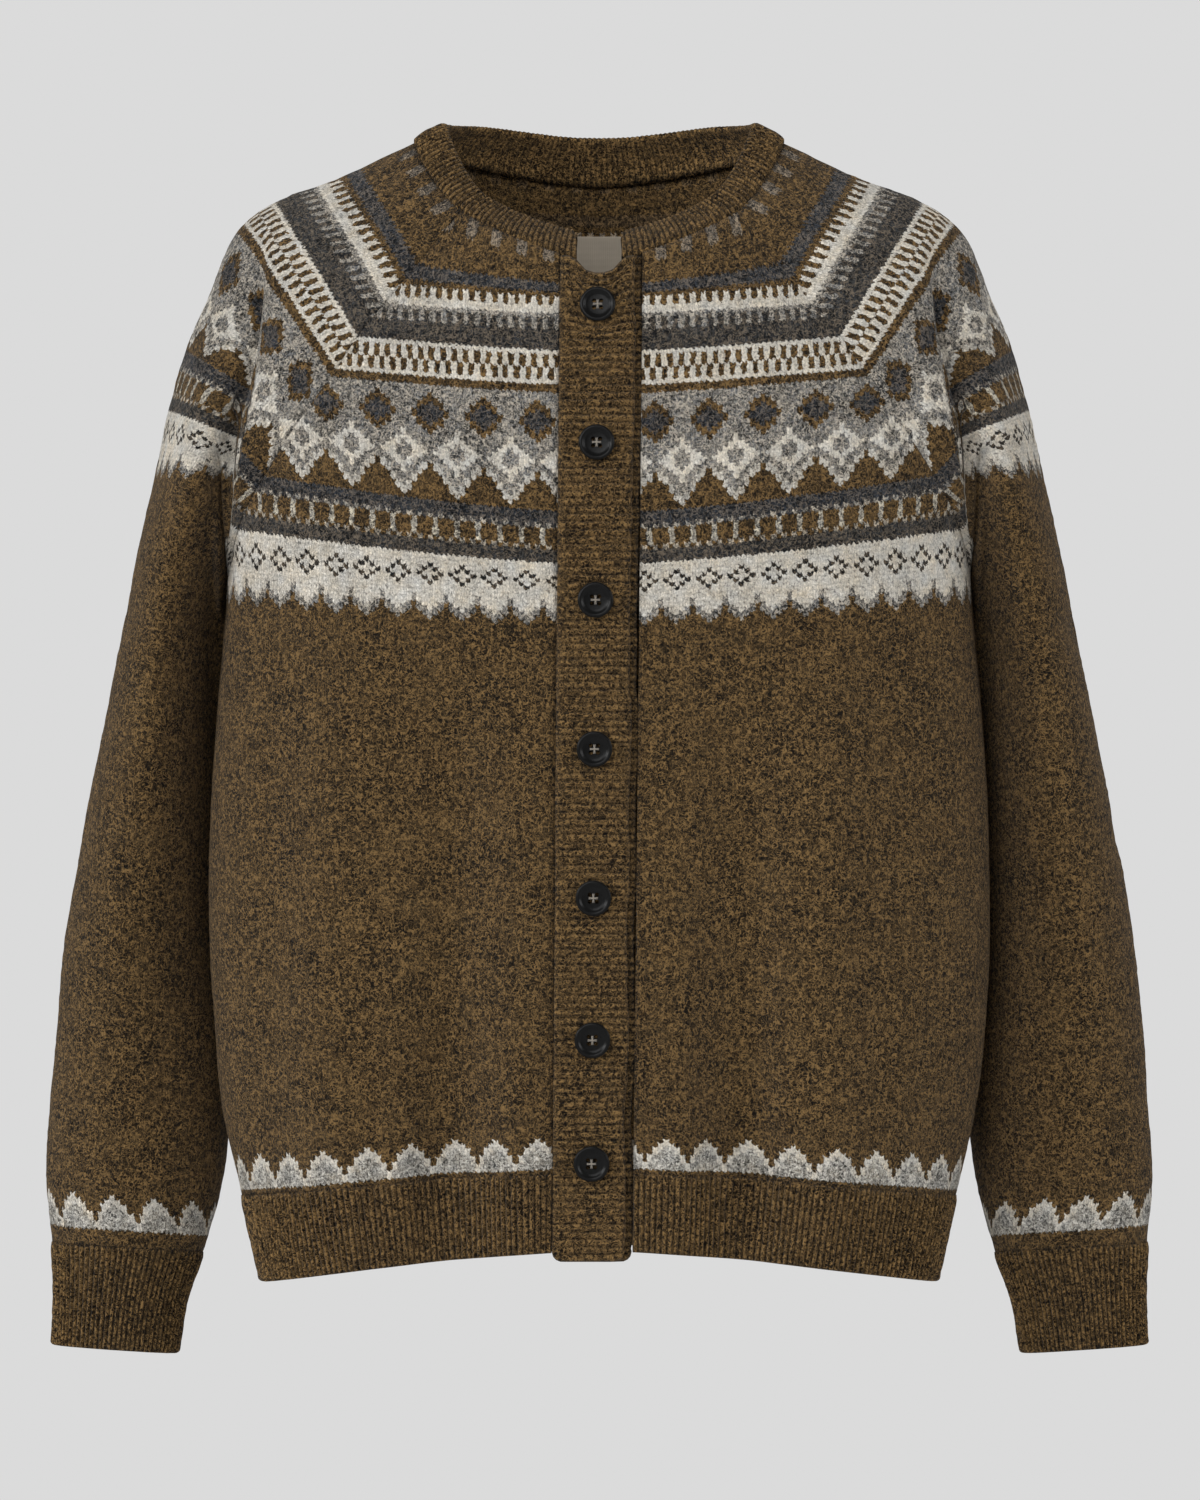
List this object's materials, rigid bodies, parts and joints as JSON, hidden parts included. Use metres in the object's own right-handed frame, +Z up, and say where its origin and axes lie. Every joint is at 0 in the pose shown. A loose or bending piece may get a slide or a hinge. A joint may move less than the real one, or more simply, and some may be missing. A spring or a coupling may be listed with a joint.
{
  "type": "cardigan",
  "caption": "Round-necked raglan cardigan with a patterned yoke, ribbed edges and a buttoned front, hollow as if worn.",
  "frame": {"origin": "middle of the neck opening, level with the inner ends of the shoulders, where the wearer holds it", "axes": "+Z up, the buttoned front faces -Y, the wearer's right is at -X"},
  "size_m": [0.644, 0.2112, 0.7154],
  "materials": {
    "knit": "brushed brown heather wool, with slate, grey and cream colourwork",
    "button": "polished black",
    "label": "blank woven tape"
  },
  "bodies": {
    "root": {"back": "knit", "front_right": "knit", "front_left": "knit", "sleeve_right": "knit", "sleeve_left": "knit", "hem_rib_back": "knit", "hem_rib_front_right": "knit", "hem_rib_front_left": "knit", "cuff_right": "knit", "cuff_left": "knit", "neckband": "knit", "buttonhole_band": "knit", "button_band": "knit", "button_1": "button", "button_2": "button", "button_3": "button", "button_4": "button", "button_5": "button", "button_6": "button", "button_7": "button", "neck_label": "label"}
  },
  "joints": []
}
